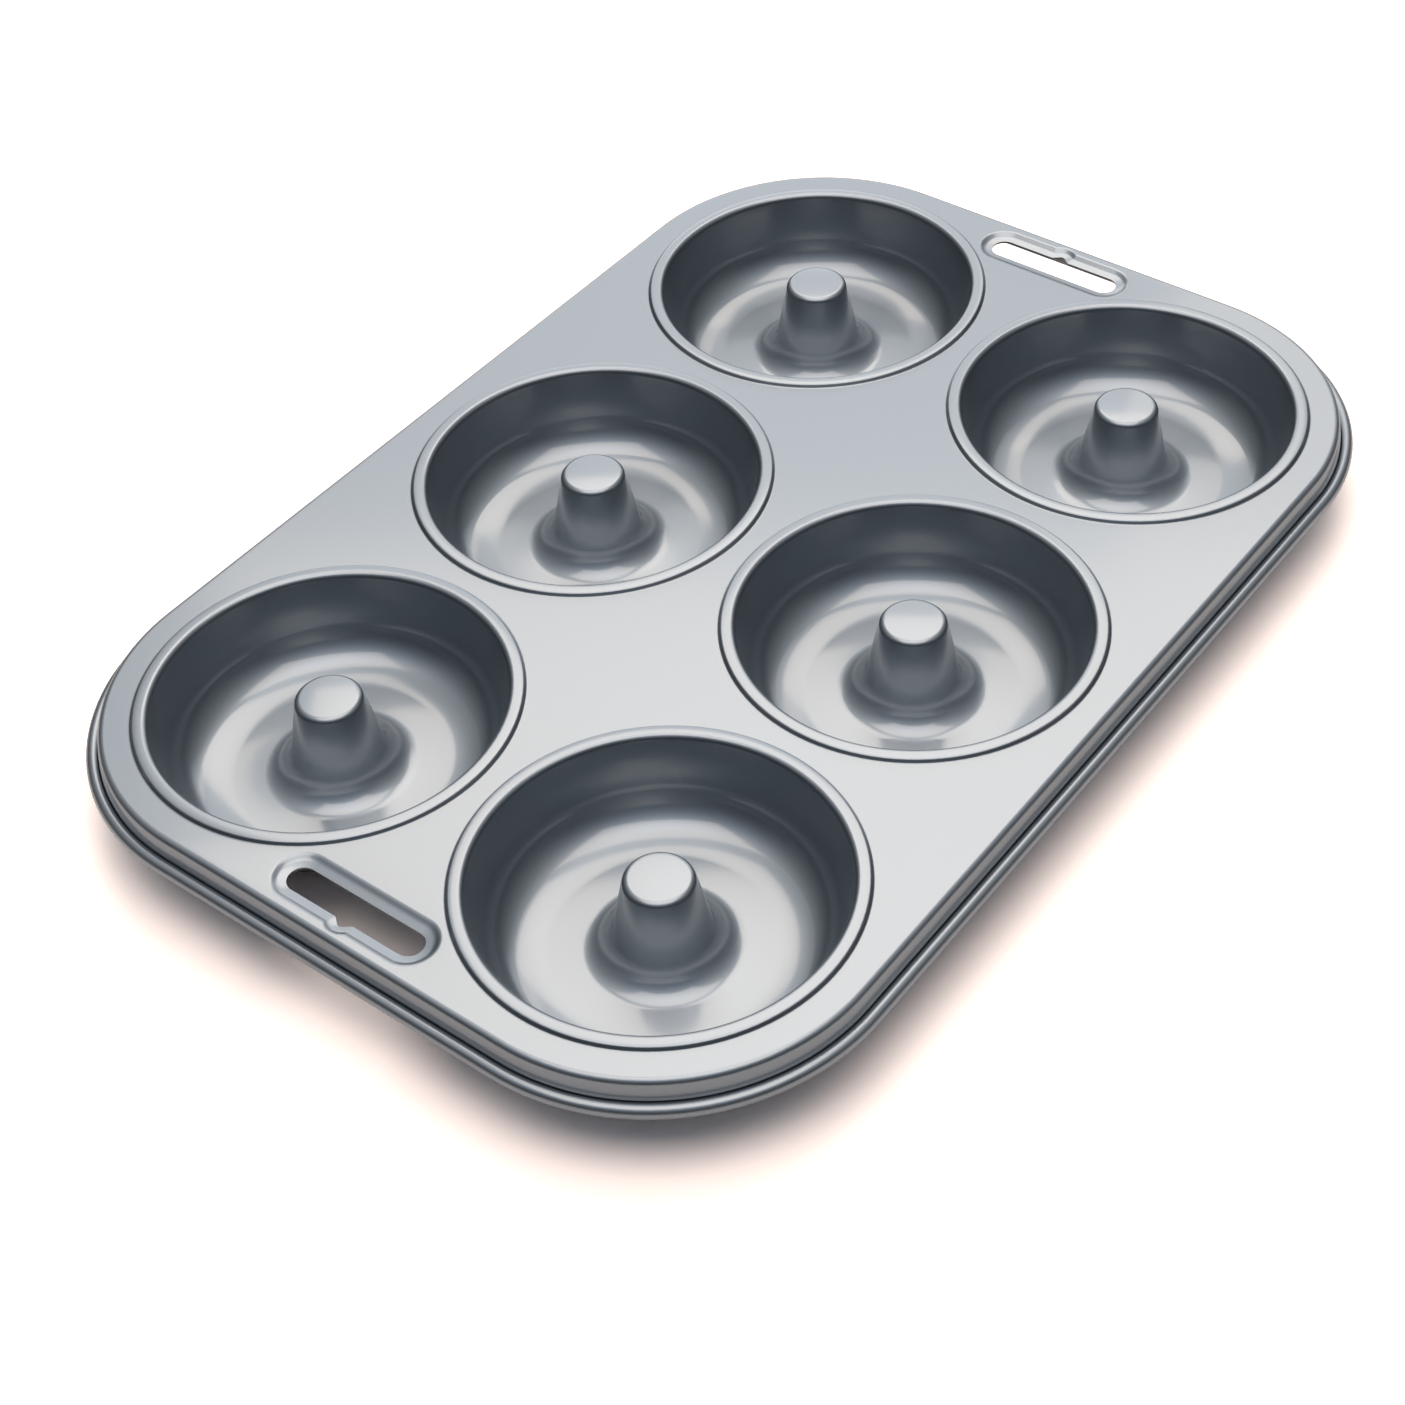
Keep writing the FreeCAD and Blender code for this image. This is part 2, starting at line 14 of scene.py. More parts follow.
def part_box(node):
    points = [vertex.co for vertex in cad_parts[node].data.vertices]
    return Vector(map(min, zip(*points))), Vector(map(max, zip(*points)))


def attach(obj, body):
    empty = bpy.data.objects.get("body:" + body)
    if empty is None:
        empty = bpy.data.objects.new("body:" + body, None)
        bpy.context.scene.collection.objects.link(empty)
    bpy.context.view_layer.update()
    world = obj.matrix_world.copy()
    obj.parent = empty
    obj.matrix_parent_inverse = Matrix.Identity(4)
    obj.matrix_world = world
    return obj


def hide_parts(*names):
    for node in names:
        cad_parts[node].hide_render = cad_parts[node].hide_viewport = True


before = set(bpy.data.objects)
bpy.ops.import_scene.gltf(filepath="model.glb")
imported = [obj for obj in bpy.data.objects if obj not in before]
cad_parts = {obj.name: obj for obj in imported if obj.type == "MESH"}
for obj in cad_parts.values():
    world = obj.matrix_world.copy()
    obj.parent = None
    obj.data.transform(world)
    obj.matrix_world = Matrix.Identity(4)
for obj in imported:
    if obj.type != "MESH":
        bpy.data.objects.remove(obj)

logging.basicConfig(level=logging.INFO, format="%(name)s: %(message)s")
log = logging.getLogger("doughnut_pan")

MM = 0.001
SAME_PLACE = 0.002 * MM
UP = Vector((0, 0, 1))
FORWARD = Vector((0, -1, 0))
QUARTER_TURN = math.pi / 2
FULL_TURN = 2 * math.pi
OPPOSITE = 180.0  # degrees

PAN_NODE = "doughnut_pan"
PAN_BODY = "root"

Colour = tuple[float, float, float, float]
Tint = tuple[float, float, float]


def deselect_objects() -> None:
    """Leaves edit mode if need be and deselects every object."""
    if bpy.context.object and bpy.context.object.mode != "OBJECT":
        bpy.ops.object.mode_set(mode="OBJECT")
    bpy.ops.object.select_all(action="DESELECT")


def take(*objects: bpy.types.Object) -> None:
    """Selects only these objects, with the first one active.

    Args:
        objects: the objects that the next operator works on.
    """
    deselect_objects()
    for one in objects:
        one.select_set(True)
    bpy.context.view_layer.objects.active = objects[0]


def edit(shape: bpy.types.Object) -> None:
    """Opens one object in edit mode with nothing of it selected.

    Args:
        shape: the object.
    """
    take(shape)
    bpy.ops.object.mode_set(mode="EDIT")
    bpy.ops.mesh.select_all(action="DESELECT")


def settle(shape: bpy.types.Object) -> None:
    """Closes edit mode and moves the object's place and turn into its mesh."""
    take(shape)
    bpy.ops.object.transform_apply(location=True, rotation=True, scale=True)


def pick_vertices(shape: bpy.types.Object, wanted: Callable[[bmesh.types.BMVert], bool]) -> None:
    """Selects the vertices of the open mesh that pass a test, and nothing else.

    Args:
        shape: the object in edit mode.
        wanted: says whether a vertex is taken.
    """
    bpy.ops.mesh.select_mode(type="VERT")
    bpy.ops.mesh.select_all(action="DESELECT")
    mesh = bmesh.from_edit_mesh(shape.data)
    for vertex in mesh.verts:
        if wanted(vertex):
            vertex.select = True
    mesh.select_flush(True)
    bmesh.update_edit_mesh(shape.data)


def pick_edges(shape: bpy.types.Object, wanted: Callable[[bmesh.types.BMEdge], bool]) -> int:
    """Selects the edges of the open mesh that pass a test, and nothing else.

    Args:
        shape: the object in edit mode.
        wanted: says whether an edge is taken.

    Returns:
        How many edges are selected.
    """
    bpy.ops.mesh.select_mode(type="EDGE")
    bpy.ops.mesh.select_all(action="DESELECT")
    mesh = bmesh.from_edit_mesh(shape.data)
    found = [edge for edge in mesh.edges if wanted(edge)]
    for edge in found:
        edge.select = True
    bmesh.update_edit_mesh(shape.data)
    return len(found)


def spin_about(middle: Vector, axis: Vector, angle: float, steps: int) -> None:
    """Spins what is selected anticlockwise about an axis, leaving the last copy selected.

    Args:
        middle: a point on the axis.
        axis: the axis, pointing at whoever sees the turn as anticlockwise.
        angle: the whole turn.
        steps: how many copies are made on the way.
    """
    bpy.ops.mesh.spin(steps=steps, angle=angle, center=middle, axis=-axis)


@dataclass(frozen=True)
class Bend:
    """How a corner is rounded: the radius, and how many cuts make the bend."""

    radius: float = 0.0
    cuts: int = 0


@dataclass(frozen=True)
class Corner:
    """A sharp corner of a drawn line, and the bend that rounds it."""

    place: Vector
    bend: Bend = Bend()


def draw_line(name: str, corners: Sequence[Corner], closed: bool = False) -> bpy.types.Object:
    """Draws a line as by hand: one vertex is extruded from corner to corner, then bends are rounded.

    Args:
        name: the new object's name.
        corners: the corners in order, each with its bend.
        closed: whether the last corner runs on into the first.

    Returns:
        The new object, in object mode and at the origin.
    """
    deselect_objects()
    bpy.ops.mesh.primitive_plane_add(size=MM, location=corners[0].place)
    shape = bpy.context.object
    shape.name = name
    bpy.ops.object.mode_set(mode="EDIT")
    bpy.ops.mesh.select_mode(type="VERT")
    bpy.ops.mesh.select_all(action="SELECT")
    bpy.ops.mesh.merge(type="CENTER")
    for before, after in zip(corners, corners[1:]):
        step = after.place - before.place
        bpy.ops.mesh.extrude_vertices_move(TRANSFORM_OT_translate={"value": step})
    if closed:
        ends = {0, len(corners) - 1}
        pick_vertices(shape, lambda vertex: vertex.index in ends)
        bpy.ops.mesh.edge_face_add()
    settle(shape)
    edit(shape)
    count = len(corners)
    for index, corner in enumerate(corners):
        if corner.bend.radius:
            before = corners[index - 1].place
            after = corners[(index + 1) % count].place
            turn = (corner.place - before).angle(after - corner.place)
            pick_vertices(shape, lambda vertex: (vertex.co - corner.place).length < SAME_PLACE)
            bpy.ops.mesh.bevel(
                affect="VERTICES",
                offset=corner.bend.radius * math.tan(turn / 2),
                segments=corner.bend.cuts,
            )
    bpy.ops.object.mode_set(mode="OBJECT")
    return shape


@dataclass(frozen=True)
class Sheet:
    """The steel sheet that everything is pressed from, and where its upper side lies."""

    thickness: float = 0.6 * MM
    plate_top: float = 21.0 * MM

    def place(self, reach: float, height: float) -> Vector:
        """A point of a section, given its reach across and its height above the plate."""
        return Vector((reach, 0, self.plate_top + height))


@dataclass
class RingMould:
    """One ring mould: a raised ring, a drafted wall, a round floor and a hollow cone.

    The sizes across are radii, and the heights are above the plate.
    """

    sheet: Sheet
    flat_edge: float = 43.4 * MM
    ring_foot: float = 43.0 * MM
    ring_top: float = 42.45 * MM
    ring_crown: float = 40.9 * MM
    ring_edge_height: float = 0.82 * MM
    ring_height: float = 0.9 * MM
    mouth: float = 39.3 * MM
    lip_height: float = 0.86 * MM
    wall_foot: float = 35.93 * MM
    depth: float = 20.4 * MM
    floor_edge: float = 24.0 * MM
    trough_slope: float = math.radians(20)
    cone_foot: float = 11.63 * MM
    cone_top: float = 7.4 * MM
    cone_rise: float = 0.6 * MM
    ring_foot_bend: Bend = Bend(0.35 * MM, 3)
    ring_top_bend: Bend = Bend(0.55 * MM, 4)
    crown_bend: Bend = Bend(12.0 * MM, 2)
    lip_bend: Bend = Bend(1.6 * MM, 7)
    wall_bend: Bend = Bend(10.0 * MM, 10)
    trough_bend: Bend = Bend(20.0 * MM, 9)
    cone_foot_bend: Bend = Bend(7.0 * MM, 10)
    cone_top_bend: Bend = Bend(1.5 * MM, 6)
    steps: int = 112

    def section(self) -> list[Corner]:
        """Works out the upper side's section, from the flat edge in to the cone's middle.

        Returns:
            The corners in order, with their bends.
        """
        place = self.sheet.place
        rise = math.tan(self.trough_slope)
        lean = (self.mouth - self.wall_foot) / (self.lip_height + self.depth)
        trough_foot = self.floor_edge + self.trough_bend.radius * math.tan(self.trough_slope / 2)
        run = (self.wall_foot - trough_foot) / (1 - lean * rise)
        return [
            Corner(place(self.flat_edge, 0)),
            Corner(place(self.ring_foot, 0), self.ring_foot_bend),
            Corner(place(self.ring_top, self.ring_edge_height), self.ring_top_bend),
            Corner(place(self.ring_crown, self.ring_height), self.crown_bend),
            Corner(place(self.mouth, self.lip_height), self.lip_bend),
            Corner(place(trough_foot + run, run * rise - self.depth), self.wall_bend),
            Corner(place(trough_foot, -self.depth), self.trough_bend),
            Corner(place(self.cone_foot, -self.depth), self.cone_foot_bend),
            Corner(place(self.cone_top, self.cone_rise), self.cone_top_bend),
            Corner(place(0, self.cone_rise)),
        ]

    def build(self) -> bpy.types.Object:
        """Spins the section about the upright axis.

        Returns:
            The upper side of one mould, about the origin's upright axis.
        """
        mould = draw_line("ring_mould", self.section())
        edit(mould)
        bpy.ops.mesh.select_all(action="SELECT")
        spin_about(Vector(), UP, FULL_TURN, self.steps)
        bpy.ops.mesh.select_all(action="SELECT")
        bpy.ops.mesh.remove_doubles(threshold=SAME_PLACE)
        bpy.ops.object.mode_set(mode="OBJECT")
        return mould


@dataclass
class MouldSet:
    """The ring moulds in their rows and columns."""

    mould: RingMould
    pitch: float = 91.0 * MM
    columns: int = 2
    rows: int = 3

    def corner_reach(self) -> Vector:
        """From the middle of the plate to the middle of the far right mould."""
        return Vector(((self.columns - 1) / 2, (self.rows - 1) / 2, 0)) * self.pitch

    def build(self) -> list[bpy.types.Object]:
        """Models one mould and copies it to each place.

        Returns:
            The moulds, each with a mesh of its own.
        """
        first = self.mould.build()
        corner = self.corner_reach()
        moulds = []
        for column in range(self.columns):
            for row in range(self.rows):
                take(first)
                bpy.ops.object.duplicate()
                copy = bpy.context.object
                step = Vector((column, row, 0)) * self.pitch - corner
                bpy.ops.transform.translate(value=step)
                settle(copy)
                moulds.append(copy)
        bpy.data.objects.remove(first)
        log.info("ring moulds: %d", len(moulds))
        return moulds


@dataclass
class RolledRim:
    """The plate's edge bend, the skirt and the hollow outward curl, all round the plate.

    The plate's corners are round about the middles of the corner moulds.
    """

    sheet: Sheet
    corner: Vector
    outermost: float
    edge_radius: float = 50.0 * MM
    flat_strip: float = 0.1 * MM
    edge_bend: Bend = Bend(1.5 * MM, 6)
    draft: float = math.radians(9)
    curl_depth: float = 6.2 * MM
    curl_turn: float = math.radians(300)
    curl_cuts: int = 22
    corner_steps: int = 30

    def build(self) -> bpy.types.Object:
        """Draws the rim's section beside the plate, then carries it round by extrusions and spins.

        Returns:
            The upper side of the rim, closed all round.
        """
        bend = self.edge_bend.radius
        edge = self.corner.x + self.edge_radius
        setback = bend * math.tan((QUARTER_TURN - self.draft) / 2)
        out = Vector((math.cos(self.draft), 0, math.sin(self.draft)))
        down = Vector((math.sin(self.draft), 0, -math.cos(self.draft)))
        bend_middle = self.sheet.place(edge - setback, -bend)
        hollow = self.hollow_radius(bend_middle, out)
        apart = bend + hollow
        run = (self.curl_depth - bend + apart * out.z) / -down.z
        curl_middle = bend_middle + out * apart + down * run
        skirt_foot = curl_middle - out * hollow
        rim = draw_line("rolled_rim", [
            Corner(self.sheet.place(edge - setback - self.flat_strip, 0)),
            Corner(self.sheet.place(edge, 0), self.edge_bend),
            Corner(skirt_foot),
        ])
        edit(rim)
        pick_vertices(rim, lambda vertex: (vertex.co - skirt_foot).length < SAME_PLACE)
        spin_about(curl_middle, FORWARD, self.curl_turn, self.curl_cuts)
        self.carry_round(rim)
        log.info("rolled rim: the curl's hollow has a radius of %.2f mm", hollow / MM)
        return rim

    def hollow_radius(self, bend_middle: Vector, out: Vector) -> float:
        """Works out the curl's inner radius, so that its outer side just reaches the outermost line.

        Args:
            bend_middle: the middle of the edge bend.
            out: square to the skirt, outwards.

        Returns:
            The radius.
        """
        bend = self.edge_bend.radius
        skirt_line = bend_middle.x + bend / out.x
        at_depth = skirt_line + (self.curl_depth - bend) * math.tan(self.draft)
        return (self.outermost - self.sheet.thickness - at_depth) / (1 + 1 / out.x)

    def carry_round(self, rim: bpy.types.Object) -> None:
        """Extrudes the section along each side and spins it about each corner.

        Args:
            rim: the open mesh that holds the section only. Not used.
        """
        across, along = self.corner.x, self.corner.y
        half_side = Vector((0, along, 0))
        sides = [
            (half_side, Vector((across, along, 0))),
            (Vector((-2 * across, 0, 0)), Vector((-across, along, 0))),
            (Vector((0, -2 * along, 0)), Vector((-across, -along, 0))),
            (Vector((2 * across, 0, 0)), Vector((across, -along, 0))),
        ]
        bpy.ops.mesh.select_all(action="SELECT")
        for side, middle in sides:
            bpy.ops.mesh.extrude_region_move(TRANSFORM_OT_translate={"value": side})
            spin_about(middle, UP, QUARTER_TURN, self.corner_steps)
        bpy.ops.mesh.extrude_region_move(TRANSFORM_OT_translate={"value": half_side})
        bpy.ops.mesh.select_all(action="SELECT")
        bpy.ops.mesh.remove_doubles(threshold=SAME_PLACE)
        bpy.ops.object.mode_set(mode="OBJECT")


class End(Enum):
    """The two short ends of the pan."""

    FRONT = -1
    BACK = 1


@dataclass(frozen=True)
class Ledge:
    """One line of the dish round a slot: how far it lies from the slot's edge and how high."""

    spread: float
    height: float


@dataclass
class HangingSlot:
    """A round-ended slot with a notch in its outer side, and the dish pressed round it.

    The ledges run from the flat plate down to the slot's edge. The ends' roundness is just short
    of a half circle, so that the two bends of an end don't meet.
    """

    sheet: Sheet
    place: float = 131.7 * MM
    length: float = 35.8 * MM
    width: float = 6.5 * MM
    notch_depth: float = 1.5 * MM
    notch_slope: float = math.radians(38)
    notch_tip: float = 1.2 * MM
    notch_fade: float = 0.12
    shoulder: float = 0.8 * MM
    roundness: float = 0.999
    end_cuts: int = 20
    notch_cuts: int = 6
    ledges: tuple[Ledge, ...] = (
        Ledge(3.45 * MM, 0.0 * MM),
        Ledge(3.35 * MM, -0.005 * MM),
        Ledge(3.10 * MM, -0.04 * MM),
        Ledge(2.85 * MM, -0.13 * MM),
        Ledge(2.60 * MM, -0.27 * MM),
        Ledge(2.30 * MM, -0.46 * MM),
        Ledge(2.00 * MM, -0.62 * MM),
        Ledge(1.75 * MM, -0.71 * MM),
        Ledge(1.50 * MM, -0.77 * MM),
        Ledge(1.00 * MM, -0.86 * MM),
        Ledge(0.50 * MM, -0.94 * MM),
        Ledge(0.0 * MM, -1.02 * MM),
    )

    def outline(self, ledge: Ledge) -> list[Corner]:
        """Works out the slot's outline, widened to one line of the dish.

        Args:
            ledge: the line's spread and height.

        Returns:
            The corners in order, with their bends.
        """
        half = self.width / 2 + ledge.spread
        end = self.length / 2 + ledge.spread
        tip = self.notch_tip + ledge.spread
        depth = self.notch_depth - self.notch_fade * ledge.spread
        fall = self.width / 2 + depth - self.notch_tip
        lean = self.notch_slope
        mouth = (tip + (fall - half) * math.cos(lean)) / math.sin(lean)
        floor = fall + tip / math.cos(lean)
        height = self.sheet.plate_top + ledge.height
        end_bend = Bend(half * self.roundness, self.end_cuts)
        shoulder_bend = Bend(self.shoulder, self.notch_cuts)
        tip_bend = Bend(tip, self.notch_cuts)
        return [
            Corner(Vector((end, half, height)), end_bend),
            Corner(Vector((-end, half, height)), end_bend),
            Corner(Vector((-end, -half, height)), end_bend),
            Corner(Vector((-mouth, -half, height)), shoulder_bend),
            Corner(Vector((0, -floor, height)), tip_bend),
            Corner(Vector((mouth, -half, height)), shoulder_bend),
            Corner(Vector((end, -half, height)), end_bend),
        ]

    def build(self, end: End) -> bpy.types.Object:
        """Draws each line of the dish and bridges it to the next one.

        Args:
            end: which end of the pan the slot is at.

        Returns:
            The upper side of the dish, open at the slot.
        """
        lines = [draw_line("dish_line", self.outline(ledge), closed=True) for ledge in self.ledges]
        take(*lines)
        bpy.ops.object.join()
        dish = bpy.context.object
        dish.name = "slot_dish_" + end.name.lower()
        edit(dish)
        heights = [self.sheet.plate_top + ledge.height for ledge in self.ledges]
        for levels in zip(heights, heights[1:]):
            pick_edges(dish, lambda edge: self.lies_on(edge, levels))
            bpy.ops.mesh.bridge_edge_loops()
        bpy.ops.object.mode_set(mode="OBJECT")
        if end is End.BACK:
            take(dish)
            bpy.ops.transform.mirror(constraint_axis=(False, True, False))
        bpy.ops.transform.translate(value=(0, end.value * self.place, 0))
        settle(dish)
        log.info("hanging slot: %s", end.name.lower())
        return dish

    def lies_on(self, edge: bmesh.types.BMEdge, levels: tuple[float, float]) -> bool:
        """Tells whether an edge lies flat on one of two levels.

        Args:
            edge: the edge.
            levels: the two levels.

        Returns:
            Whether it does.
        """
        low, high = sorted(vertex.co.z for vertex in edge.verts)
        flat = high - low < SAME_PLACE
        return flat and any(abs(low - level) < SAME_PLACE for level in levels)


@dataclass(frozen=True)
class NonStickCoating:
    """A silver-grey metallic coating, satin under a glossy clear coat, with a very fine orange peel."""

    name: str = "silver_grey_coating"
    colour: Colour = (0.270, 0.310, 0.354, 1.0)
    metallic: float = 1.0
    roughness: float = 0.46
    clear_coat: float = 1.0
    coat_roughness: float = 0.13
    coat_index: float = 1.9
    peel_scale: float = 900.0
    peel_detail: float = 3.0
    peel_depth: float = 0.02 * MM
    peel_strength: float = 0.5

    def material(self) -> bpy.types.Material:
        """Builds the coating's nodes.

        Returns:
            The material.
        """
        material = bpy.data.materials.new(self.name)
        material.use_nodes = True
        nodes, links = material.node_tree.nodes, material.node_tree.links
        shader = nodes["Principled BSDF"]
        shader.inputs["Base Color"].default_value = self.colour
        shader.inputs["Metallic"].default_value = self.metallic
        shader.inputs["Roughness"].default_value = self.roughness
        shader.inputs["Coat Weight"].default_value = self.clear_coat
        shader.inputs["Coat Roughness"].default_value = self.coat_roughness
        shader.inputs["Coat IOR"].default_value = self.coat_index
        place = nodes.new("ShaderNodeTexCoord")
        noise = nodes.new("ShaderNodeTexNoise")
        noise.inputs["Scale"].default_value = self.peel_scale
        noise.inputs["Detail"].default_value = self.peel_detail
        bump = nodes.new("ShaderNodeBump")
        bump.inputs["Distance"].default_value = self.peel_depth
        bump.inputs["Strength"].default_value = self.peel_strength
        links.new(place.outputs["Object"], noise.inputs["Vector"])
        links.new(noise.outputs["Fac"], bump.inputs["Height"])
        links.new(bump.outputs["Normal"], shader.inputs["Normal"])
        return material


@dataclass
class DoughnutPan:
    """The whole pan as one sheet: moulds, rim and slots joined by the flat plate."""

    sheet: Sheet
    moulds: MouldSet
    rim: RolledRim
    slot: HangingSlot
    coating: NonStickCoating
    smooth_angle: float = math.radians(35)

    def build(self) -> bpy.types.Object:
        """Models the pan's upper side, gives it the sheet's thickness and dresses it.

        Returns:
            The finished piece.
        """
        parts = [self.rim.build(), *self.moulds.build()]
        parts += [self.slot.build(end) for end in End]
        take(*parts)
        bpy.ops.object.join()
        pan = bpy.context.object
        pan.name = pan.data.name = "pan"
        self.fill_plate(pan)
        self.thicken(pan)
        self.smooth(pan)
        pan.data.materials.clear()
        pan.data.materials.append(self.coating.material())
        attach(pan, PAN_BODY)
        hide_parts(PAN_NODE)
        return pan

    def fill_plate(self, pan: bpy.types.Object) -> None:
        """Fills the flat plate between the open edges that lie on its level.

        Args:
            pan: the joined parts.
        """
        edit(pan)
        count = pick_edges(pan, self.borders_plate)
        bpy.ops.mesh.fill(use_beauty=True)
        log.info("plate: filled between %d edges", count)
        bpy.ops.mesh.select_all(action="SELECT")
        bpy.ops.mesh.remove_doubles(threshold=SAME_PLACE)
        bpy.ops.mesh.normals_make_consistent(inside=False)
        bpy.ops.object.mode_set(mode="OBJECT")
        if self.faces_down(pan):
            edit(pan)
            bpy.ops.mesh.select_all(action="SELECT")
            bpy.ops.mesh.flip_normals()
            bpy.ops.object.mode_set(mode="OBJECT")

    def borders_plate(self, edge: bmesh.types.BMEdge) -> bool:
        """Tells whether an edge is open and lies on the plate's level.

        Args:
            edge: the edge.

        Returns:
            Whether it does.
        """
        top = self.sheet.plate_top
        level = all(abs(vertex.co.z - top) < SAME_PLACE for vertex in edge.verts)
        return edge.is_boundary and level

    def faces_down(self, pan: bpy.types.Object) -> bool:
        """Whether the plate's own faces point down."""
        largest = max(pan.data.polygons, key=lambda face: face.area)
        return largest.normal.z < 0

    def thicken(self, pan: bpy.types.Object) -> None:
        """Gives the surface the sheet's thickness, below its upper side.

        Args:
            pan: the pan's upper side.
        """
        take(pan)
        solidify = pan.modifiers.new("sheet", "SOLIDIFY")
        solidify.thickness = self.sheet.thickness
        solidify.offset = -1
        solidify.use_even_offset = True
        bpy.ops.object.modifier_apply(modifier=solidify.name)

    def smooth(self, pan: bpy.types.Object) -> None:
        """Shades the pan smooth, apart from the sheet's cut edges."""
        take(pan)
        bpy.ops.object.shade_smooth_by_angle(angle=self.smooth_angle)


def way_to(azimuth: float, elevation: float) -> Vector:
    """Works out the unit vector that points somewhere in the room.

    Args:
        azimuth: degrees anticlockwise from the pan's right side.
        elevation: degrees above the horizon.

    Returns:
        The vector.
    """
    turn, height = math.radians(azimuth), math.radians(elevation)
    level = math.cos(height)
    return Vector((math.cos(turn) * level, math.sin(turn) * level, math.sin(height)))


@dataclass(frozen=True)
class Softbox:
    """A soft rectangular light that faces the pan."""

    name: str
    azimuth: float
    elevation: float
    distance: float
    width: float
    height: float
    brightness: float
    colour: Tint = (1.19, 1.01, 0.84)

    def watts(self) -> float:
        """The power at which the whole face of the light has its brightness."""
        return self.brightness * self.width * self.height * math.pi

    def build(self) -> bpy.types.Object:
        """Adds the light, turned to the pan.

        Returns:
            The light.
        """
        lamp = bpy.data.lights.new(self.name, "AREA")
        lamp.shape = "RECTANGLE"
        lamp.size, lamp.size_y = self.width, self.height
        lamp.color = self.colour
        lamp.energy = self.watts()
        light = bpy.data.objects.new(self.name, lamp)
        bpy.context.scene.collection.objects.link(light)
        way = way_to(self.azimuth, self.elevation)
        light.location = way * self.distance
        light.rotation_euler = (-way).to_track_quat("-Z", "Y").to_euler()
        light.visible_camera = False
        return light


@dataclass(frozen=True)
class PaperFloor:
    """A sheet of white paper that shows as pure white, and keeps the pan's warm shadow."""

    size: float = 3.0
    colour: Colour = (0.62, 0.60, 0.59, 1.0)
    seen_colour: Colour = (1.92, 1.70, 1.62, 1.0)
    mirrored_share: float = 0.2

    def build(self) -> bpy.types.Object:
        """Adds the floor.

        Returns:
            The floor.
        """
        deselect_objects()
        bpy.ops.mesh.primitive_plane_add(size=self.size, location=(0, 0, 0))
        floor = bpy.context.object
        floor.name = "paper_floor"
        floor.data.materials.append(self.material())
        return floor

    def material(self) -> bpy.types.Material:
        """Builds the paper: plain for the light it passes on, brighter where it is seen.

        Returns:
            The material.
        """
        material = bpy.data.materials.new("white_paper")
        material.use_nodes = True
        nodes, links = material.node_tree.nodes, material.node_tree.links
        nodes.clear()
        rays = nodes.new("ShaderNodeLightPath")
        mirrored = nodes.new("ShaderNodeMath")
        mirrored.operation = "MAXIMUM"
        links.new(rays.outputs["Is Glossy Ray"], mirrored.inputs[0])
        links.new(rays.outputs["Is Transmission Ray"], mirrored.inputs[1])
        seen = nodes.new("ShaderNodeMath")
        seen.operation = "MULTIPLY_ADD"
        seen.inputs[1].default_value = self.mirrored_share
        links.new(mirrored.outputs["Value"], seen.inputs[0])
        links.new(rays.outputs["Is Camera Ray"], seen.inputs[2])
        tone = nodes.new("ShaderNodeMix")
        tone.data_type = "RGBA"
        tone.inputs["A"].default_value = self.colour
        tone.inputs["B"].default_value = self.seen_colour
        links.new(seen.outputs["Value"], tone.inputs["Factor"])
        paper = nodes.new("ShaderNodeBsdfDiffuse")
        links.new(tone.outputs["Result"], paper.inputs["Color"])
        out = nodes.new("ShaderNodeOutputMaterial")
        links.new(paper.outputs["BSDF"], out.inputs["Surface"])
        return material


@dataclass(frozen=True)
class SkyLevel:
    """How bright the room is at one height, in degrees: before, beside and behind the pan."""

    elevation: float
    front: float
    side: float
    back: float


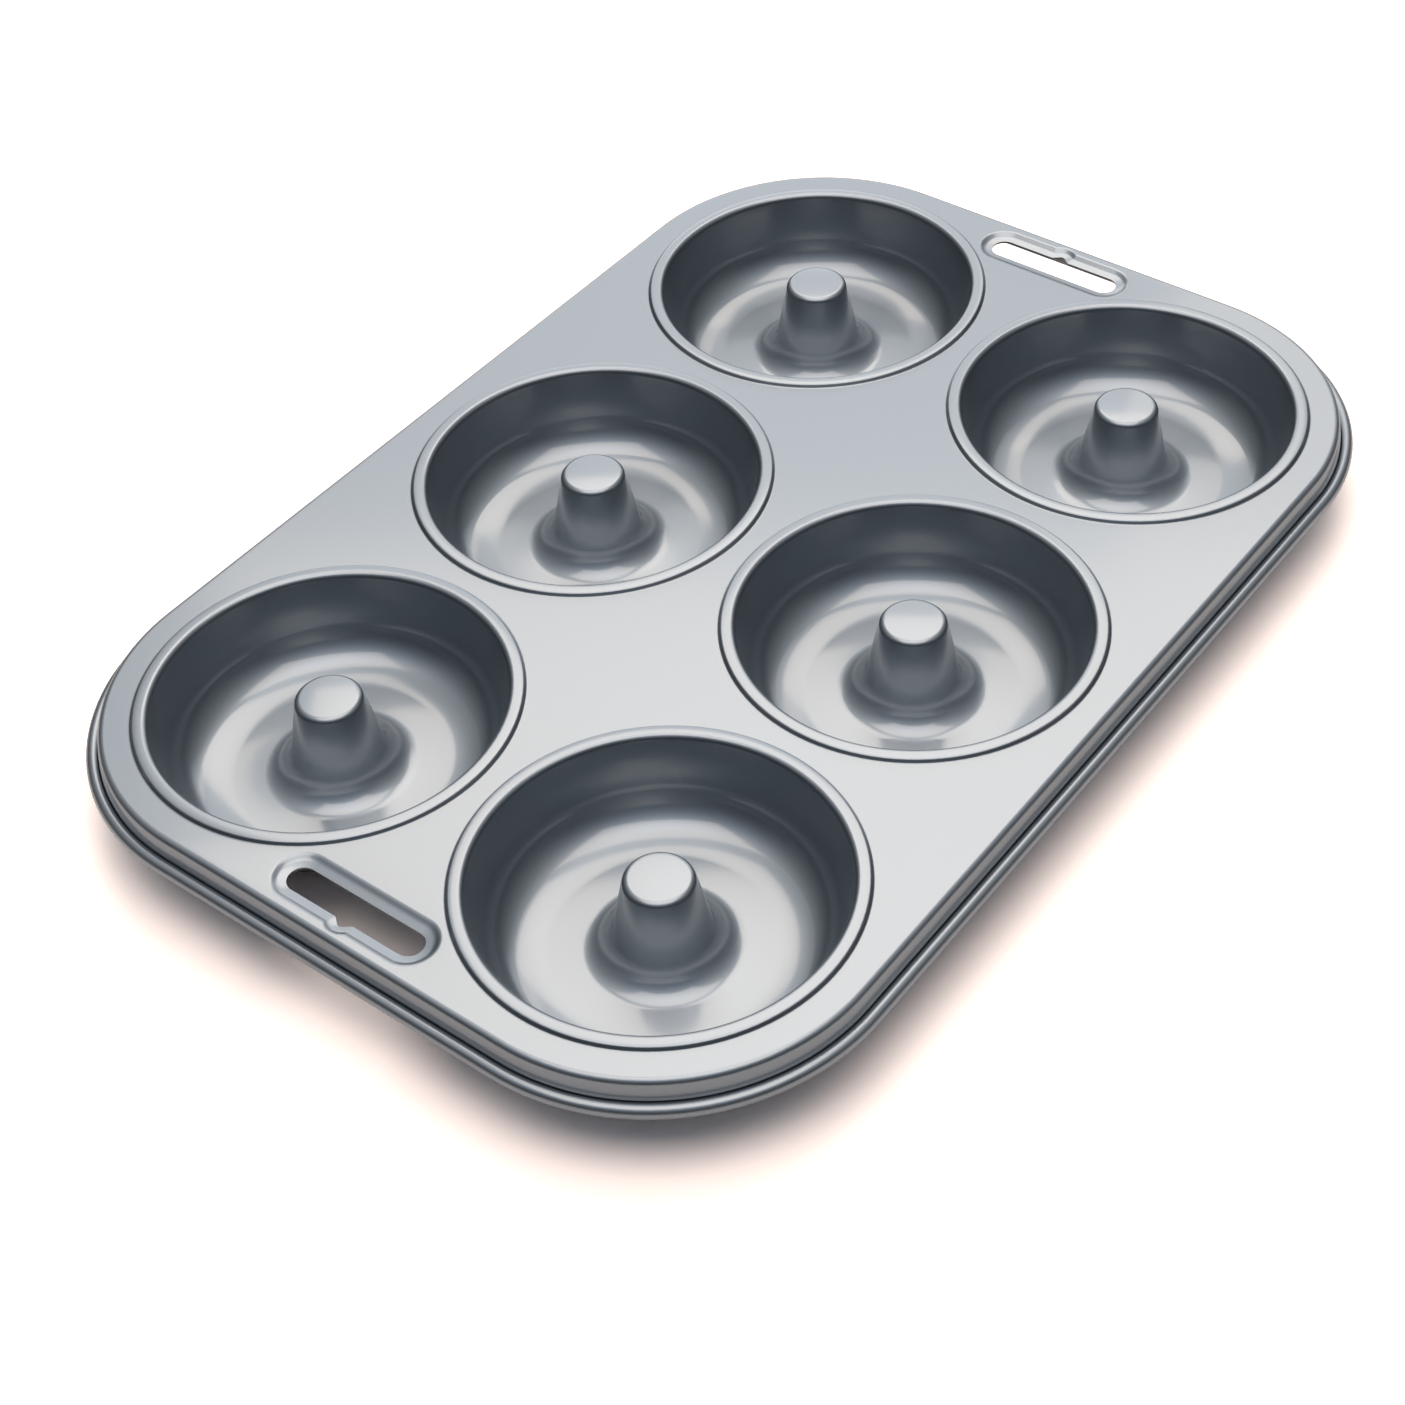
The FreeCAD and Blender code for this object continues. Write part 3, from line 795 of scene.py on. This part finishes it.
@dataclass(frozen=True)
class Room:
    """The room round the pan: dim at its walls, dimmest in front, and pale overhead and behind.

    The azimuth of what is behind the pan is in degrees. Each edge gives how many degrees to its
    sides a wall begins, and how many where it is full.
    """

    behind: float = 122.0
    front_edge: tuple[float, float] = (90.0, 50.0)
    back_edge: tuple[float, float] = (40.0, 20.0)
    tint: Tint = (0.97, 1.0, 1.03)
    front_tint: Tint = (0.82, 1.0, 1.22)
    seen_colour: Colour = (1.0, 1.0, 1.0, 1.0)
    levels: tuple[SkyLevel, ...] = (
        SkyLevel(elevation=0, front=0.0, side=0.0, back=0.2),
        SkyLevel(elevation=12, front=0.0, side=0.05, back=0.6),
        SkyLevel(elevation=25, front=0.0, side=0.17, back=1.15),
        SkyLevel(elevation=39, front=0.14, side=0.28, back=0.92),
        SkyLevel(elevation=57, front=0.36, side=0.46, back=1.15),
        SkyLevel(elevation=75, front=0.8, side=0.9, back=1.2),
        SkyLevel(elevation=90, front=0.9, side=0.9, back=0.9),
    )

    def build(self) -> bpy.types.World:
        """Builds the room: white where the camera sees it, and as it is for everything else.

        Returns:
            The world.
        """
        world = bpy.data.worlds.new("room")
        world.use_nodes = True
        bpy.context.scene.world = world
        tree = world.node_tree
        way = tree.nodes.new("ShaderNodeTexCoord").outputs["Generated"]
        side_wall = self.wall(tree, way, [level.side for level in self.levels], self.tint)
        front_wall = self.wall(tree, way, [level.front for level in self.levels], self.front_tint)
        back_wall = self.wall(tree, way, [level.back for level in self.levels], self.tint)
        in_front = self.facing(tree, way, self.behind + OPPOSITE, self.front_edge)
        fronted = self.cover(tree, in_front, side_wall)
        tree.links.new(front_wall, fronted.inputs["B"])
        at_back = self.facing(tree, way, self.behind, self.back_edge)
        whole = self.cover(tree, at_back, fronted.outputs["Result"])
        tree.links.new(back_wall, whole.inputs["B"])
        rays = tree.nodes.new("ShaderNodeLightPath")
        seen = self.cover(tree, rays.outputs["Is Camera Ray"], whole.outputs["Result"])
        seen.inputs["B"].default_value = self.seen_colour
        tree.links.new(seen.outputs["Result"], tree.nodes["Background"].inputs["Color"])
        return world

    def wall(self, tree: bpy.types.NodeTree, way: bpy.types.NodeSocket,
             brightness: Sequence[float], tint: Tint) -> bpy.types.NodeSocket:
        """Adds one wall, which changes from the horizon to the zenith.

        Args:
            tree: the world's nodes.
            way: the direction that is looked in.
            brightness: the brightness at each level.
            tint: what the brightness is tinted with.

        Returns:
            The wall's colour.
        """
        height = tree.nodes.new("ShaderNodeSeparateXYZ")
        tree.links.new(way, height.inputs["Vector"])
        ramp = tree.nodes.new("ShaderNodeValToRGB")
        tree.links.new(height.outputs["Z"], ramp.inputs["Fac"])
        stops = ramp.color_ramp.elements
        for index, (level, bright) in enumerate(zip(self.levels, brightness)):
            place = math.sin(math.radians(level.elevation))
            stop = stops[index] if index < len(stops) else stops.new(place)
            stop.position = place
            stop.color = [bright * part for part in tint] + [1.0]
        return ramp.outputs["Color"]

    def facing(self, tree: bpy.types.NodeTree, way: bpy.types.NodeSocket, azimuth: float,
               edge: tuple[float, float]) -> bpy.types.NodeSocket:
        """Masks the part of the room that lies in one direction.

        Args:
            tree: the world's nodes.
            way: the direction that is looked in.
            azimuth: the masked part's middle, in degrees.
            edge: how many degrees to its sides the mask begins, and how many where it is full.

        Returns:
            The mask.
        """
        level = tree.nodes.new("ShaderNodeVectorMath")
        level.operation = "MULTIPLY"
        level.inputs[1].default_value = (1, 1, 0)
        tree.links.new(way, level.inputs[0])
        heading = tree.nodes.new("ShaderNodeVectorMath")
        heading.operation = "NORMALIZE"
        tree.links.new(level.outputs["Vector"], heading.inputs[0])
        along = tree.nodes.new("ShaderNodeVectorMath")
        along.operation = "DOT_PRODUCT"
        along.inputs[1].default_value = way_to(azimuth, 0)
        tree.links.new(heading.outputs["Vector"], along.inputs[0])
        begin, full = edge
        mask = tree.nodes.new("ShaderNodeMapRange")
        mask.interpolation_type = "SMOOTHSTEP"
        mask.inputs["From Min"].default_value = math.cos(math.radians(begin))
        mask.inputs["From Max"].default_value = math.cos(math.radians(full))
        tree.links.new(along.outputs["Value"], mask.inputs["Value"])
        return mask.outputs["Result"]

    def cover(self, tree: bpy.types.NodeTree, mask: bpy.types.NodeSocket,
              under: bpy.types.NodeSocket) -> bpy.types.Node:
        """Adds a mix that covers a colour with its input B where a mask is full.

        Args:
            tree: the world's nodes.
            mask: where input B shows.
            under: the colour that is covered.

        Returns:
            The mix.
        """
        mixed = tree.nodes.new("ShaderNodeMix")
        mixed.data_type = "RGBA"
        tree.links.new(mask, mixed.inputs["Factor"])
        tree.links.new(under, mixed.inputs["A"])
        return mixed


@dataclass
class Studio:
    """The white floor, the dim room, the soft lights and the camera."""

    floor: PaperFloor = PaperFloor()
    room: Room = Room()
    lens: float = 64.61
    sensor: float = 36.0
    camera_place: tuple[float, float, float] = (0.26977, -0.33867, 0.40098)
    camera_right: tuple[float, float, float] = (0.794316, 0.605339, -0.051257)
    camera_up: tuple[float, float, float] = (-0.398450, 0.582807, 0.708218)
    lights: tuple[Softbox, ...] = (
        Softbox(
            name="window",
            azimuth=124,
            elevation=55,
            distance=2.4,
            width=1.58,
            height=1.11,
            brightness=1.65,
        ),
        Softbox(
            name="side_window",
            azimuth=108.5,
            elevation=35,
            distance=2.4,
            width=0.41,
            height=0.6,
            brightness=0.85,
        ),
        Softbox(
            name="low_card",
            azimuth=132,
            elevation=20,
            distance=2.4,
            width=1.1,
            height=0.66,
            brightness=0.8,
            colour=(1.06, 1.0, 0.94),
        ),
        Softbox(
            name="overhead",
            azimuth=306,
            elevation=82,
            distance=1.6,
            width=1.5,
            height=1.2,
            brightness=1.45,
        ),
    )

    def build(self) -> None:
        """Adds the floor, the room, the lights and the camera."""
        self.floor.build()
        self.room.build()
        for light in self.lights:
            light.build()
        self.add_camera()
        bpy.context.scene.view_settings.view_transform = "Standard"

    def add_camera(self) -> None:
        """Puts the camera at the photograph's viewing angle."""
        data = bpy.data.cameras.new("camera")
        data.lens = self.lens
        data.sensor_width = self.sensor
        data.sensor_fit = "AUTO"
        camera = bpy.data.objects.new("camera", data)
        bpy.context.scene.collection.objects.link(camera)
        right, up = Vector(self.camera_right), Vector(self.camera_up)
        turn = Matrix((right, up, right.cross(up))).transposed().to_4x4()
        camera.matrix_world = Matrix.Translation(self.camera_place) @ turn
        bpy.context.scene.camera = camera


def report(piece: bpy.types.Object) -> None:
    """Logs a finished piece's faces, and the triangles they come to.

    Args:
        piece: the piece.
    """
    faces = piece.data.polygons
    triangles = sum(len(face.vertices) - 2 for face in faces)
    log.info("%s: %d faces, %d triangles", piece.name, len(faces), triangles)


def main() -> None:
    """Builds the pan and the studio round it, and reports them."""
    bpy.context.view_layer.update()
    sheet = Sheet()
    moulds = MouldSet(RingMould(sheet))
    rim = RolledRim(sheet, moulds.corner_reach(), outermost=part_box(PAN_NODE)[1].x)
    pan = DoughnutPan(sheet, moulds, rim, HangingSlot(sheet), NonStickCoating())
    report(pan.build())
    studio = Studio()
    studio.build()
    log.info("studio: %s", ", ".join(light.name for light in studio.lights))


if __name__ == "__main__":
    main()
